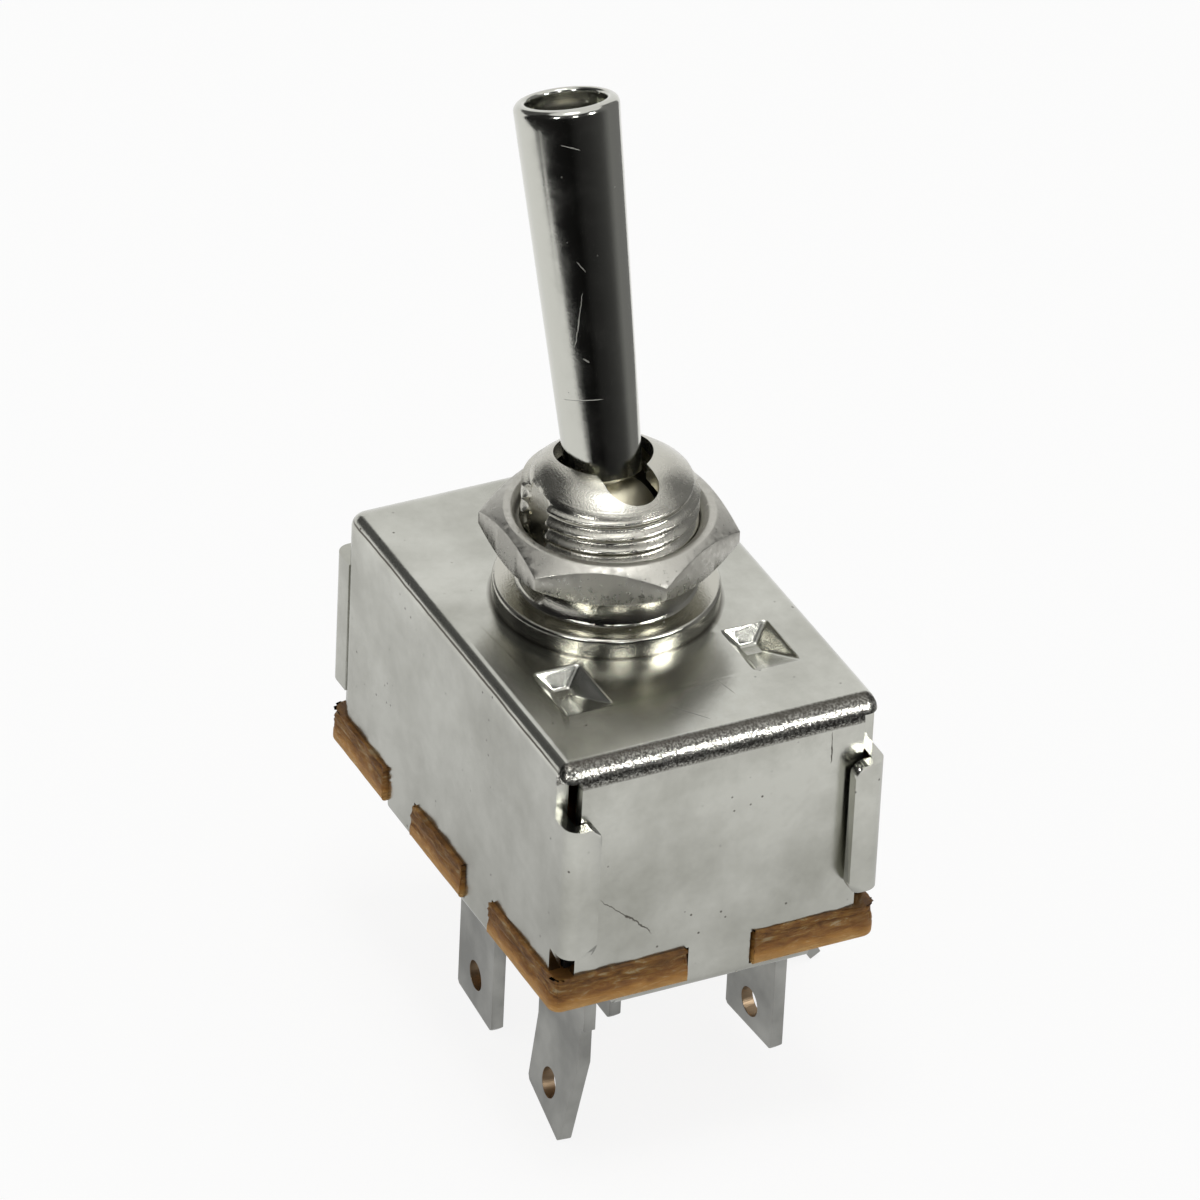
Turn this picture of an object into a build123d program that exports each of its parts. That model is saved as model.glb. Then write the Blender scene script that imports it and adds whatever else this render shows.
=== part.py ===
from build123d import *
import os
from math import cos, radians, sin, tan

# Power take-off switch: a heavy toggle switch with a locking lever, in a folded steel can
# crimped over a laminated phenolic base with six blade terminals.
# Millimetres. The origin is on the bushing's axis, in the plane where the panel's underside
# sits on the bushing's flange. +Z runs out of the panel, +X is the way the lever swings on,
# and the lever is at rest in its locked place, towards -X.

# Bushing and nut
thread_radius = 6.0
flange_radius = 7.72
flange_height = 1.45
flange_edge_radius = 0.3
shoulder_height = 7.7          # panel seat to the end of the full thread
dome_edge_radius = 5.4
dome_edge_height = 8.2
bushing_height = 9.45          # panel seat to the top of the dome
dome_top_radius = 3.0
dome_bulge = 0.16
dome_wall = 1.15
bore_radius = 4.3
bore_mouth_radius = 5.0
bore_cone_height = 3.2
spigot_radius = 5.7
spigot_clearance = 0.05
stake_radius = 6.5
stake_height = 0.5
keyway_width = 3.4
keyway_depth = 0.75
keyway_bottom = 0.6
pocket_radius = 3.35           # round seat of the sleeve in the dome
pocket_centre = -1.35
slot_width = 3.7               # narrow way for the stem
slot_end = 4.8
nut_across_flats = 15.2
nut_height = 3.1
nut_seat = 2.45                # gap left between the flange and the nut
nut_bore_clearance = 0.05
nut_chamfer_angle = 34.0
nut_chamfer_start = 7.15
nut_countersink_radius = 6.65

# Lever
pivot_height = 4.45
lever_tilt = 18.3              # each side of upright
ball_radius = 3.4
stem_radius = 1.5
stem_foot_radius = 2.0
stem_foot_length = 8.5
stem_length = 27.9
washer_drop = 1.6              # stem's end to the washer's underside
pin_radius = 0.9
pin_clearance = 0.04
pin_half_length = 5.1
sleeve_start = 3.4
sleeve_length = 25.9
sleeve_top_radius = 3.58
sleeve_neck_radius = 2.66
sleeve_neck_place = 5.2
sleeve_rim_radius = 0.55
sleeve_guide_length = 4.4
sleeve_guide_clearance = 0.05
sleeve_chamber_radius = 2.25
sleeve_recess_radius = 2.72
sleeve_recess_depth = 1.6
washer_radius = 2.15
washer_thickness = 0.7
sleeve_spring_wire = 0.22
sleeve_spring_turns = 13

# Plunger in the lever's foot
plunger_radius = 1.1
plunger_clearance = 0.05
plunger_tip = 11.5
plunger_top = 5.0
plunger_bore_top = 2.2
plunger_spring_wire = 0.14
plunger_spring_turns = 6

# Can, folded from one sheet
sheet = 0.85
can_front = 18.2               # outer face of the end towards +X
can_back = -16.7               # outer face of the end towards -X
can_half_width = 11.7
can_height = 16.5
fold_radius_front = 1.0
fold_radius_back = 1.8
fold_radius_side = 0.95
corner_relief = 1.2            # the long sides stop this far before the end's outer face
corner_slot = 0.45             # open slot beside each end panel
corner_drop = 1.0
wrap_top = 4.2                 # wrapped corner tabs, below the can's top
wrap_bottom = 14.5
wrap_width = 2.4
wrap_gaps = {(1, -1): 0.1, (1, 1): 0.4, (-1, -1): 0.4, (-1, 1): 0.1}
wrap_bend_radius = 1.05
wrap_corner_radius = 0.9
side_tab_centres = (-6.15, 6.15)
side_tab_width = 4.1
end_tab_centre = 0.4
end_tab_width = 4.6
lip_length = 2.0               # crimped lip under the base
side_lip_half = 8.2
end_lip_half = 7.2
tab_notch_clearance = 0.15
lip_bend_radius = 0.8
dimple_near = 6.7              # stamped dimples, steep end
dimple_far = 12.0
dimple_half_width = 1.75
dimple_row = 6.95
dimple_depth = 1.2
dimple_foot = 0.8              # steep end to the flat at the bottom, along
dimple_flat = 1.1
dimple_flat_half = 0.65
dimple_edge_radius = 0.4
dimple_rim_radius = 0.3

# Base and contact block
base_thickness = 2.6
base_overhang = 0.4
base_corner_radius = 0.9
base_edge_radius = 0.3
block_thickness = 2.0
block_clearance = 0.2
ear_thickness = 1.3
ear_half_length = 2.6
ear_rise = 1.9                 # above the rocker's axis

# Terminals
blade_width = 6.3
blade_thickness = 0.9
near_common_length = 13.7      # below the base
middle_length = 14.0
far_load_length = 13.1
blade_hole_radius = 1.08
blade_hole_drop = 10.85
blade_tip_chamfer = 0.45
blade_slot_clearance = 0.1
shoulder_extra = 0.45
shoulder_drop = 4.6
row_inset = 3.7                # can's side to an outer row of blades
row_shift = 0.4                # all the rows sit a little towards +Y
near_common_x = -1.0
near_load_x = 11.6
near_load_offset = 0.2
middle_common_x = 0.3
middle_contact_inset = 1.7     # middle blades to their contact, across
middle_rest_x = -10.6
far_common_x = -1.0
far_load_x = 8.9
bumped_drop = 7.5              # the near load blade is knocked askew below this
bumped_length = 13.75
bumped_hole_drop = 11.25
bumped_lean = 0.75
bumped_shift = -0.35
bumped_twist = -6.5
bumped_slant = 0.55
far_common_bend = 31.5         # the far common blade is bent out
far_common_bend_drop = 0.4
far_common_length = 16.6
near_common_twist = -4.0
far_load_twist = 3.0

# Rocker and contacts
rocker_axis = -11.0
rocker_swing = 8.0             # each side of level
rocker_half_length = 4.6
rocker_saddle_half_width = 3.0
rocker_saddle_rise = 5.6
rocker_beam_half_length = 3.0
beam_end_gap = 0.55            # beam's end to the ear
rocker_beam_rise = 2.0
trunnion_radius = 1.2
trunnion_clearance = 0.05
trunnion_end_gap = 0.35        # short of the ear's outer face
groove_radius = 4.65
groove_centre_rise = 8.33
bar_width = 3.6
bar_thickness = 0.8
bar_drop = 0.2                 # rocker's axis to the bars' top
bar_tail = 3.4
bar_beyond_contact = 2.0
contact_inset = 1.8            # outer blades to their bar and contact, across
bar_gap = 0.8                  # between the middle and far bars
moving_contact_radius = 1.5
moving_contact_height = 0.9
moving_contact_rim = 0.6       # rounding, as a share of the height
fixed_contact_radius = 1.6
fixed_shank_radius = 0.8
fixed_tail_radius = 1.12
fixed_tail_height = 0.5
contact_gap = 0.05
foot_thickness = 0.9
foot_length = 4.2
fulcrum_half_width = 0.6
fulcrum_gap = 0.05
fulcrum_length = 2.0

# Worked-out places
can_top = -flange_height
can_inner_top = can_top - sheet
skirt_bottom = can_top - can_height
base_top = skirt_bottom
base_bottom = base_top - base_thickness
block_top = base_top + block_thickness
lip_bottom = base_bottom - sheet
can_inner_front = can_front - sheet
can_inner_back = can_back + sheet
can_inner_half = can_half_width - sheet
block_half = can_inner_half - block_clearance
ear_inner = block_half - ear_thickness
rocker_beam_half_width = ear_inner - beam_end_gap
trunnion_reach = block_half - trunnion_end_gap
row_offset = can_half_width - row_inset
bar_row = row_offset - contact_inset
middle_bar_row = bar_row - bar_width - bar_gap
middle_row = middle_bar_row - middle_contact_inset
washer_place = stem_length - washer_drop
bar_top = -bar_drop
bar_bottom = bar_top - bar_thickness
nut_top = nut_seat + nut_height
guide_end = sleeve_start + sleeve_guide_length
sleeve_end = sleeve_start + sleeve_length
nodes = {}


def block(x0, x1, y0, y1, z0, z1):
    """A box between six planes."""
    return Pos((x0 + x1) / 2, (y0 + y1) / 2, (z0 + z1) / 2) * Box(x1 - x0, y1 - y0, z1 - z0)


def rod(radius, z0, z1, x=0, y=0):
    """An upright round bar from z0 up to z1."""
    return Pos(x, y, (z0 + z1) / 2) * Cylinder(radius, z1 - z0)


def turned(points, arc=None):
    """A body turned about Z from a half section of (radius, height) points."""
    section = make_face(Polyline(*[(r, 0, z) for r, z in points], close=True))
    return revolve(section, Axis.Z, 360)


def cross_rod(radius, y0, y1, x=0, z=0):
    """A round bar along Y."""
    return Pos(x, (y0 + y1) / 2, z) * Rot(90, 0, 0) * Cylinder(radius, y1 - y0)


def lean(part):
    """Takes a lever piece from upright, about the pivot, to its rest tilt."""
    return Pos(0, 0, pivot_height) * Rot(0, -lever_tilt, 0) * part


def rock(part):
    """Takes a rocker piece from level, about its axis, to its rest tilt."""
    return Pos(0, 0, rocker_axis) * Rot(0, rocker_swing, 0) * part


def helix_spring(radius, wire, turns, z0, z1):
    """A round-wire compression spring about Z, between z0 and z1."""
    height = z1 - z0 - 2 * wire
    path = Pos(0, 0, z0 + wire) * Helix(height / turns, height, radius)
    profile = Plane(origin=path @ 0, z_dir=path % 0) * Circle(wire)
    return sweep(profile, path=path, is_frenet=True)


def make_bushing():
    """Domed threaded bushing with its flange, its spigot and the lever's opening."""
    bore_cone_top = can_top + bore_cone_height
    stake_bottom = can_inner_top - stake_height
    outer = Line((0, bushing_height), (dome_top_radius, bushing_height))
    middle = ((dome_top_radius + dome_edge_radius) / 2 + dome_bulge,
              (bushing_height + dome_edge_height) / 2 + dome_bulge)
    dome = ThreePointArc((dome_top_radius, bushing_height), middle, (dome_edge_radius, dome_edge_height))
    rest = Polyline((dome_edge_radius, dome_edge_height), (thread_radius, shoulder_height), (thread_radius, 0),
                    (flange_radius, 0), (flange_radius, can_top), (spigot_radius, can_top),
                    (spigot_radius, can_inner_top), (stake_radius, can_inner_top), (stake_radius, stake_bottom),
                    (0, stake_bottom), (0, bushing_height))
    section = make_face(Plane.XZ * (outer + dome + rest))
    body = revolve(section, Axis.Z, 360)
    rim = body.edges().filter_by(GeomType.CIRCLE).filter_by(
        lambda e: abs(e.radius - flange_radius) < 1e-3 and abs(e.center().Z) < 1e-3)
    body = fillet(rim, flange_edge_radius)
    cavity = turned([(0, stake_bottom - 1), (bore_mouth_radius, stake_bottom - 1), (bore_mouth_radius, can_top),
                     (bore_radius, bore_cone_top), (bore_radius, bushing_height - dome_wall),
                     (0, bushing_height - dome_wall)])
    body -= cavity
    body -= rod(pocket_radius, bushing_height - dome_wall - 0.5, bushing_height + 1, x=pocket_centre)
    slot_half = slot_width / 2
    slot = block(0, slot_end - slot_half, -slot_half, slot_half, shoulder_height - dome_wall, bushing_height + 1)
    slot += rod(slot_half, shoulder_height - dome_wall, bushing_height + 1, x=slot_end - slot_half)
    body -= slot
    keyway = block(-keyway_width / 2, keyway_width / 2, -thread_radius - 1, -thread_radius + keyway_depth,
                   keyway_bottom, bushing_height + 1)
    body -= keyway
    return body - cross_rod(pin_radius, -thread_radius - 1, thread_radius + 1, z=pivot_height)


def make_nut():
    """Hexagon nut, chamfered on both faces."""
    corner = nut_across_flats / 2 / cos(radians(30))
    hexagon = Pos(0, 0, nut_seat) * extrude(RegularPolygon(corner, 6), nut_height)
    drop = (corner + 1 - nut_chamfer_start) * tan(radians(nut_chamfer_angle))
    envelope = turned([(0, nut_seat), (nut_chamfer_start, nut_seat), (corner + 1, nut_seat + drop),
                       (corner + 1, nut_top - drop), (nut_chamfer_start, nut_top), (0, nut_top)])
    bore = rod(thread_radius + nut_bore_clearance, nut_seat - 1, nut_top + 1)
    mouth = nut_countersink_radius - thread_radius
    countersink = Pos(0, 0, nut_top - mouth / 2) * Cone(thread_radius, nut_countersink_radius, mouth)
    return (hexagon & envelope) - bore - countersink


def make_sleeve():
    """Tapered locking sleeve, with a guide bore, a spring chamber and a recessed top."""
    rise = (sleeve_top_radius - sleeve_neck_radius) / (sleeve_end - sleeve_neck_place)
    low_radius = sleeve_neck_radius - rise * (sleeve_neck_place - sleeve_start)
    body = turned([(0, sleeve_start), (low_radius, sleeve_start), (sleeve_top_radius, sleeve_end), (0, sleeve_end)])
    rim = body.edges().filter_by(GeomType.CIRCLE).sort_by(Axis.Z)[-1]
    body = fillet(rim, sleeve_rim_radius)
    body -= rod(stem_radius + sleeve_guide_clearance, sleeve_start - 1, sleeve_end + 1)
    body -= rod(sleeve_chamber_radius, guide_end, sleeve_end + 1)
    body -= rod(sleeve_recess_radius, sleeve_end - sleeve_recess_depth, sleeve_end + 1)
    inner_rim = body.edges().filter_by(GeomType.CIRCLE).filter_by(
        lambda e: abs(e.radius - sleeve_recess_radius) < 1e-3).sort_by(Axis.Z)[-1]
    return fillet(inner_rim, sleeve_rim_radius / 2)


def make_stem():
    """Brass stem: rod, pivot ball and foot, bored below for the plunger."""
    body = rod(stem_radius, 0, stem_length) + Sphere(ball_radius) + rod(stem_foot_radius, -stem_foot_length, 0)
    body -= rod(plunger_radius + plunger_clearance, -stem_foot_length - 1, -plunger_bore_top)
    return body - cross_rod(pin_radius + pin_clearance, -ball_radius - 1, ball_radius + 1)


def make_plunger():
    """Plunger with a round tip that presses on the rocker."""
    shank = rod(plunger_radius, -plunger_tip + plunger_radius, -plunger_top)
    return shank + Pos(0, 0, -plunger_tip + plunger_radius) * Sphere(plunger_radius)


def make_lever():
    """The lever's pieces, all at rest tilt."""
    nodes["lever_sleeve"] = lean(make_sleeve())
    nodes["lever_stem"] = lean(make_stem())
    washer = rod(washer_radius, washer_place, washer_place + washer_thickness)
    nodes["stem_washer"] = lean(washer - rod(stem_radius, washer_place - 1, washer_place + 2))
    spring_radius = (stem_radius + sleeve_chamber_radius) / 2
    nodes["sleeve_spring"] = lean(helix_spring(spring_radius, sleeve_spring_wire, sleeve_spring_turns,
                                               guide_end, washer_place))
    nodes["plunger"] = lean(make_plunger())
    nodes["plunger_spring"] = lean(helix_spring(plunger_radius - 2 * plunger_spring_wire, plunger_spring_wire,
                                                plunger_spring_turns, -plunger_top, -plunger_bore_top))
    nodes["pivot_pin"] = cross_rod(pin_radius, -pin_half_length, pin_half_length, z=pivot_height)


def dimple_tool(top, rise, grow=0.0):
    """A stamping punch: a lopsided pyramid, steep at its near end, with a small flat."""
    flat_near = dimple_near + dimple_foot
    flat_far = flat_near + dimple_flat
    share = (dimple_depth + rise) / dimple_depth
    mouth_near = flat_near - dimple_foot * share - grow
    mouth_far = flat_far + (dimple_far - flat_far) * share + grow
    mouth_half = dimple_flat_half + (dimple_half_width - dimple_flat_half) * share + grow
    ends = []
    for x0, x1, half, z in ((mouth_near, mouth_far, mouth_half, top + rise),
                            (flat_near - grow, flat_far + grow, dimple_flat_half + grow, top - dimple_depth)):
        ends.append(make_face(Polyline((x0, -half, z), (x1, -half, z), (x1, half, z), (x0, half, z), close=True)))
    return loft(ends, ruled=True)


def stamp_dimples(can):
    """Two dimples, pushed in from the top with the sheet's own thickness under them."""
    for side in (-1, 1):
        can += Pos(0, side * dimple_row, 0) * dimple_tool(can_inner_top, sheet / 2, sheet / 2)
    for side in (-1, 1):
        tool = dimple_tool(can_top, sheet)
        low = tool.edges().filter_by(lambda e: e.center().Z < can_top + sheet - 1e-3)
        can -= Pos(0, side * dimple_row, 0) * fillet(low, dimple_edge_radius)
    mouths = can.edges().filter_by(
        lambda e: abs(e.center().Z - can_top) < 1e-3
        and abs(abs(e.center().Y) - dimple_row) < dimple_half_width + 0.01
        and dimple_near - 0.1 < e.center().X < dimple_far + 0.1)
    return fillet(mouths, dimple_rim_radius)


def wrapped_tab(end, side):
    """A tab of a long side, bent round the corner onto the end panel."""
    panel = can_front if end > 0 else can_back
    outer = panel + end * (wrap_gaps[(end, side)] + sheet)
    start = panel - end * corner_relief
    z0, z1 = can_top - wrap_bottom, can_top - wrap_top
    tip = side * (can_half_width - wrap_width)
    body = block(*sorted((start, outer)), *sorted((side * can_half_width, tip)), z0, z1)
    bend = body.edges().filter_by(Axis.Z).filter_by(
        lambda e: abs(e.center().X - outer) < 1e-3 and abs(e.center().Y - side * can_half_width) < 1e-3)
    body = fillet(bend, wrap_bend_radius)
    hollow = block(*sorted((start - end, outer - end * sheet)), *sorted((side * can_inner_half, tip - side)),
                   z0 - 1, z1 + 1)
    body -= hollow
    free = body.edges().filter_by(Axis.X).filter_by(lambda e: abs(e.center().Y - tip) < 1e-3)
    return fillet(free, wrap_corner_radius)


def crimp_tabs(side):
    """Crimp tabs of a long side, with the lip that they share under the base."""
    y_out, y_in, y_lip = (side * v for v in (can_half_width, can_inner_half, can_half_width - lip_length))
    part = block(-side_lip_half, side_lip_half, *sorted((y_out, y_lip)), lip_bottom, base_bottom)
    for centre in side_tab_centres:
        half = side_tab_width / 2
        part += block(centre - half, centre + half, *sorted((y_out, y_in)), lip_bottom, skirt_bottom)
    bend = part.edges().filter_by(Axis.X).filter_by(
        lambda e: abs(e.center().Y - y_out) < 1e-3 and abs(e.center().Z - lip_bottom) < 1e-3)
    return fillet(bend, lip_bend_radius)


def end_crimp(end):
    """Crimp tab of an end panel, with its lip under the base."""
    face = can_front if end > 0 else can_back
    part = block(*sorted((face, face - end * lip_length)), -end_lip_half, end_lip_half, lip_bottom, base_bottom)
    half = end_tab_width / 2
    part += block(*sorted((face, face - end * sheet)), end_tab_centre - half, end_tab_centre + half,
                  lip_bottom, skirt_bottom)
    bend = part.edges().filter_by(Axis.Y).filter_by(
        lambda e: abs(e.center().X - face) < 1e-3 and abs(e.center().Z - lip_bottom) < 1e-3)
    return fillet(bend, lip_bend_radius)


def make_can():
    """The can: one folded sheet with wrapped corners, crimp tabs and two dimples."""
    outer = block(can_back, can_front, -can_half_width, can_half_width, skirt_bottom, can_top)
    outer = fillet(outer.faces().sort_by(Axis.Z)[-1].edges().filter_by(Axis.X), fold_radius_side)
    outer = fillet(outer.edges().filter_by(lambda e: e.center().Z > can_top - 1.5).sort_by(Axis.X)[-1],
                   fold_radius_front)
    outer = fillet(outer.edges().filter_by(lambda e: e.center().Z > can_top - 1.5).sort_by(Axis.X)[0],
                   fold_radius_back)
    inner = block(can_inner_back, can_inner_front, -can_inner_half, can_inner_half, skirt_bottom - 1, can_inner_top)
    inner = fillet(inner.edges().filter_by(lambda e: e.center().Z > can_inner_top - 0.5).sort_by(Axis.X)[0],
                   fold_radius_back - sheet)
    can = outer - inner
    for end in (-1, 1):
        panel = can_front if end > 0 else can_back
        for side in (-1, 1):
            can -= block(*sorted((panel - end * corner_relief, panel + end)),
                         *sorted((side * (can_inner_half - corner_slot), side * (can_half_width + 1))),
                         skirt_bottom - 1, can_top - corner_drop)
            can += wrapped_tab(end, side)
    can -= rod(spigot_radius + spigot_clearance, can_inner_top - 1, can_top + 1)
    for side in (-1, 1):
        can += crimp_tabs(side)
        can += end_crimp(side)
    return stamp_dimples(can)


def blade_slot(x, y, twist=0.0):
    """The slot that a terminal blade passes through."""
    size_x, size_y = blade_width + 2 * blade_slot_clearance, blade_thickness + 2 * blade_slot_clearance
    height = block_top - base_bottom + 2
    return Pos(x, y, (block_top + base_bottom) / 2) * Rot(0, 0, twist) * Box(size_x, size_y, height)


def terminal_places():
    """Each terminal's place and twist."""
    near, middle, far = row_shift - row_offset, row_shift + middle_row, row_shift + row_offset
    return {"near_common_terminal": (near_common_x, near, near_common_twist),
            "near_load_terminal": (near_load_x + near_load_offset, near, 0.0),
            "middle_common_terminal": (middle_common_x, middle, 0.0),
            "middle_rest_terminal": (middle_rest_x, middle, 0.0),
            "far_common_terminal": (far_common_x, far, 0.0),
            "far_load_terminal": (far_load_x, far, far_load_twist)}


def make_base():
    """Laminated base, notched for the crimp tabs and slotted for the blades."""
    x0, x1 = can_back - base_overhang, can_front + base_overhang
    half = can_half_width + base_overhang
    base = block(x0, x1, -half, half, base_bottom, base_top)
    base = fillet(base.edges().filter_by(Axis.Z), base_corner_radius)
    base = fillet(base.faces().sort_by(Axis.Z)[0].edges(), base_edge_radius)
    for side in (-1, 1):
        for centre in side_tab_centres:
            reach = side_tab_width / 2 + tab_notch_clearance
            base -= block(centre - reach, centre + reach, *sorted((side * can_inner_half, side * (half + 1))),
                          base_bottom - 1, base_top + 1)
        edge = can_inner_front if side > 0 else can_inner_back
        reach = end_tab_width / 2 + tab_notch_clearance
        base -= block(*sorted((edge, edge + side * 3)), end_tab_centre - reach, end_tab_centre + reach,
                      base_bottom - 1, base_top + 1)
    for x, y, twist in terminal_places().values():
        base -= blade_slot(x, y, twist)
    for x, y in contact_places().values():
        base -= rod(fixed_tail_radius + 0.1, base_top - fixed_tail_height - 0.1, base_top + 1, x, y)
    return base


def make_block():
    """Inner contact block with the rocker's two bearing ears."""
    x0, x1 = can_inner_back + block_clearance, can_inner_front - block_clearance
    half = block_half
    part = block(x0, x1, -half, half, base_top, block_top)
    for side in (-1, 1):
        part += block(-ear_half_length, ear_half_length, *sorted((side * half, side * ear_inner)),
                      block_top, rocker_axis + ear_rise)
    part -= cross_rod(trunnion_radius + trunnion_clearance, -half - 1, half + 1, z=rocker_axis)
    for x, y, twist in terminal_places().values():
        part -= blade_slot(x, y, twist)
    for x, y in contact_places().values():
        part -= rod(fixed_shank_radius + 0.02, base_top - 1, block_top + 1, x, y)
    return part


def contact_places():
    """Where each fixed contact stands, as (x, y)."""
    return {"near_fixed_contact": (near_load_x, row_shift - bar_row),
            "far_fixed_contact": (far_load_x, row_shift + bar_row),
            "middle_fixed_contact": (middle_rest_x, row_shift + middle_bar_row)}


def finish_blade(part, tip_z):
    """Coins a blade's tip: bevelled faces and clipped corners."""
    corners = part.edges().filter_by(lambda e: e.center().Z < tip_z + 1 and abs((e % 0.5).Y) > 0.9)
    part = chamfer(corners, blade_tip_chamfer)
    low = part.edges().filter_by(lambda e: e.center().Z < tip_z + 1 and abs((e % 0.5).X) > 0.9)
    return chamfer(low, blade_thickness * 0.25)


def blade_hole(drop):
    """The cutter for a blade's hole."""
    return cross_rod(blade_hole_radius, -blade_thickness, blade_thickness, z=-drop)


def blade(length):
    """A straight blade below z = 0 in its own frame."""
    half, thick = blade_width / 2, blade_thickness / 2
    part = finish_blade(block(-half, half, -thick, thick, -length, 0), -length)
    part += block(0, half + shoulder_extra, -thick, thick, -shoulder_drop, 0)
    return part - blade_hole(blade_hole_drop)


def bumped_blade(length):
    """A blade whose lower end has been knocked: leaning, twisted and uneven at the tip."""
    half, thick = blade_width / 2, blade_thickness / 2
    turn = Rot(0, 0, bumped_twist)
    top = make_face(Polyline((-half, -thick, -bumped_drop), (half, -thick, -bumped_drop),
                             (half, thick, -bumped_drop), (-half, thick, -bumped_drop), close=True))
    left, right = -length + bumped_slant, -length - bumped_slant
    low = Pos(bumped_shift, -bumped_lean, 0) * turn * make_face(Polyline((-half, -thick, left), (half, -thick, right),
                                                               (half, thick, right), (-half, thick, left),
                                                               close=True))
    part = finish_blade(loft([top, low], ruled=True), -length)
    part += block(-half, half, -thick, thick, -bumped_drop, 0)
    part += block(0, half + shoulder_extra, -thick, thick, -shoulder_drop, 0)
    share = (bumped_hole_drop - bumped_drop) / (length - bumped_drop)
    return part - Pos(bumped_shift * share, -bumped_lean * share, 0) * turn * blade_hole(bumped_hole_drop)


def bent_blade(length):
    """A blade bent outwards, towards +Y, just below the base."""
    half, thick = blade_width / 2, blade_thickness / 2
    lower = finish_blade(block(-half, half, -thick, thick, far_common_bend_drop - length, 0),
                         far_common_bend_drop - length)
    lower -= blade_hole(blade_hole_drop)
    part = Pos(0, 0, -far_common_bend_drop) * Rot(far_common_bend, 0, 0) * lower
    part += block(-half, half, -thick, thick, -far_common_bend_drop, 0)
    return part + Pos(0, 0, -far_common_bend_drop) * Rot(0, 90, 0) * Cylinder(thick, blade_width)


def place_blade(lower, x, y, twist, top):
    """Seats a blade at the base's underside and carries it up through the base and block."""
    half, thick = blade_width / 2, blade_thickness / 2
    part = lower + block(-half, half, -thick, thick, -0.01, top - base_bottom)
    return Pos(x, y, base_bottom) * Rot(0, 0, twist) * part


def common_terminal(x, y, inward, part):
    """Common terminal: a plate along the block, with a rounded fulcrum under the rocker's axis."""
    thick = blade_thickness / 2
    nib_top = rocker_axis + bar_bottom - fulcrum_gap
    part += block(min(0, x) - 2.0, max(0, x) + 2.0, y - thick, y + thick, block_top, block_top + 1.2)
    y0, y1 = sorted((y, y + inward * fulcrum_length))
    part += block(-fulcrum_half_width, fulcrum_half_width, y0, y1, block_top, nib_top - fulcrum_half_width)
    return part + cross_rod(fulcrum_half_width, y0, y1, z=nib_top - fulcrum_half_width)


def load_terminal(x, y, inward, part, contact):
    """Load terminal: bent over into a foot that carries the fixed contact."""
    half, thick = blade_width / 2, blade_thickness / 2
    y0, y1 = sorted((y - inward * thick, y + inward * (foot_length - thick)))
    part += block(x - half, x + half, y0, y1, block_top, block_top + foot_thickness)
    return part - rod(fixed_shank_radius + 0.02, block_top - 1, block_top + foot_thickness + 1, *contact)


def make_terminals():
    """All six terminals."""
    lowers = {"near_common_terminal": blade(near_common_length),
              "near_load_terminal": bumped_blade(bumped_length),
              "middle_common_terminal": blade(middle_length),
              "middle_rest_terminal": blade(middle_length),
              "far_common_terminal": bent_blade(far_common_length),
              "far_load_terminal": blade(far_load_length)}
    contacts = {name.split("_")[0]: spot for name, spot in contact_places().items()}
    for name, (x, y, twist) in terminal_places().items():
        inward = -1 if y > 4 else 1
        common = "common" in name
        part = place_blade(lowers[name], x, y, twist, block_top + 0.3)
        if common:
            nodes[name] = common_terminal(x, y, inward, part)
        else:
            nodes[name] = load_terminal(x, y, inward, part, contacts[name.split("_")[0]])


def contact_level(x):
    """Height of a closed moving contact's underside above a fixed contact at x."""
    tilt = radians(rocker_swing)
    rim = moving_contact_height * moving_contact_rim
    reach = abs(x) + moving_contact_radius - rim
    drop = -bar_bottom + moving_contact_height - rim
    return rocker_axis - reach * sin(tilt) - drop * cos(tilt) - rim - contact_gap


def make_contacts():
    """Fixed contacts on the feet, and the bars with their moving contacts on the rocker."""
    foot_top = block_top + foot_thickness
    for place, (x, y) in contact_places().items():
        name = place.split("_")[0]
        fixed = rod(fixed_contact_radius, foot_top, contact_level(x), x, y)
        fixed += rod(fixed_shank_radius, base_top, foot_top, x, y)
        fixed += rod(fixed_tail_radius, base_top - fixed_tail_height, base_top, x, y)
        nodes[place] = fixed
        way = 1 if x > 0 else -1
        x0, x1 = sorted((-way * bar_tail, x + way * bar_beyond_contact))
        bar = block(x0, x1, y - bar_width / 2, y + bar_width / 2, bar_bottom, bar_top)
        nodes[f"{name}_contact_bar"] = rock(bar)
        button = rod(moving_contact_radius, bar_bottom - moving_contact_height, bar_bottom, x, y)
        rim = button.edges().filter_by(GeomType.CIRCLE).sort_by(Axis.Z)[0]
        nodes[f"{name}_moving_contact"] = rock(fillet(rim, moving_contact_height * moving_contact_rim))


def make_rocker():
    """Moulded rocker: saddle for the plunger, cross beam for the bars, two trunnions."""
    part = block(-rocker_half_length, rocker_half_length, -rocker_saddle_half_width, rocker_saddle_half_width,
                 bar_top, rocker_saddle_rise)
    part -= cross_rod(groove_radius, -rocker_saddle_half_width - 1, rocker_saddle_half_width + 1,
                      z=groove_centre_rise)
    part += block(-rocker_beam_half_length, rocker_beam_half_length, -rocker_beam_half_width,
                  rocker_beam_half_width, bar_top, rocker_beam_rise)
    for side in (-1, 1):
        part += cross_rod(trunnion_radius, *sorted((side * (rocker_beam_half_width - 0.2), side * trunnion_reach)))
    return rock(part)


nodes["bushing"] = make_bushing()
nodes["hex_nut"] = make_nut()
nodes["case_cover"] = make_can()
make_lever()
nodes["base_plate"] = make_base()
nodes["contact_block"] = make_block()
make_terminals()
make_contacts()
nodes["rocker"] = make_rocker()

os.makedirs("parts", exist_ok=True)
for name, shape in nodes.items():
    shape.label = name
    export_step(shape, f"parts/{name}.step")
print(len(nodes), "nodes written")
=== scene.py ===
import math

import bmesh
import bpy
from mathutils import Matrix, Vector, noise


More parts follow.
